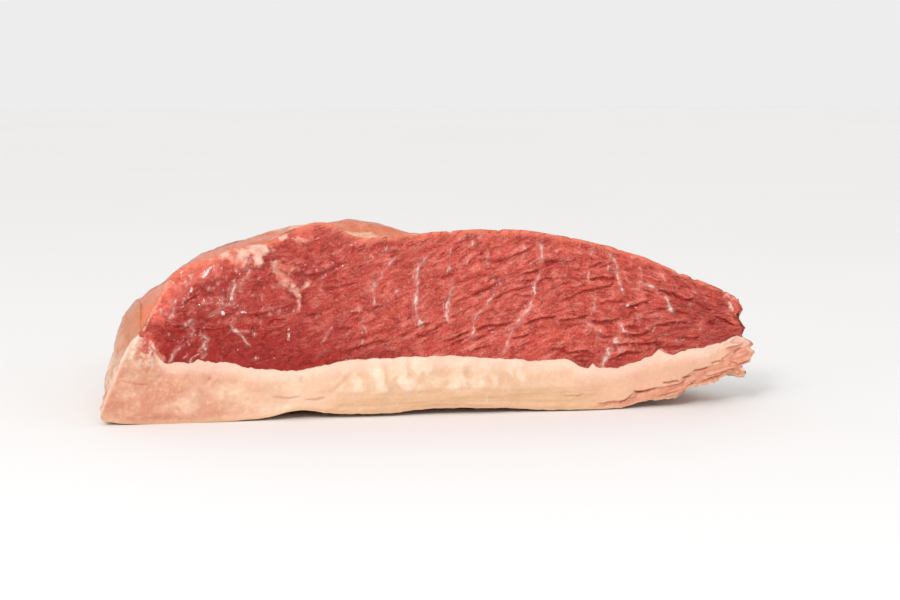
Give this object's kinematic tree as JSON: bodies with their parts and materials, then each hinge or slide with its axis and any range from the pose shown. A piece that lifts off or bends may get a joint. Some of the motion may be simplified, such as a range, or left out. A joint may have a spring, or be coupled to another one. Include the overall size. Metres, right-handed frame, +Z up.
{
  "type": "raw picanha",
  "caption": "Raw beef rump cap, whole: lean red muscle on its thick fat cap, three-cornered in plan, straight cut face at the front, thin torn end on the right, lying on its fat",
  "frame": {"origin": "on the surface that the piece lies on, under the middle of its outline", "axes": "+X along the cut face towards its thin end, +Y from the cut face back to the narrow tip, +Z up from the fat to the lean"},
  "size_m": [0.2076, 0.186, 0.0608],
  "materials": {
    "lean": "moist raw beef, deep pink-red with white marbling, a tan membrane on the uncut top, soft wet gloss",
    "fat": "raw beef fat, peach to cream, soft and waxy with a faint wet sheen"
  },
  "bodies": {
    "root": {"lean": "lean", "fat_cap": "fat"}
  },
  "joints": []
}
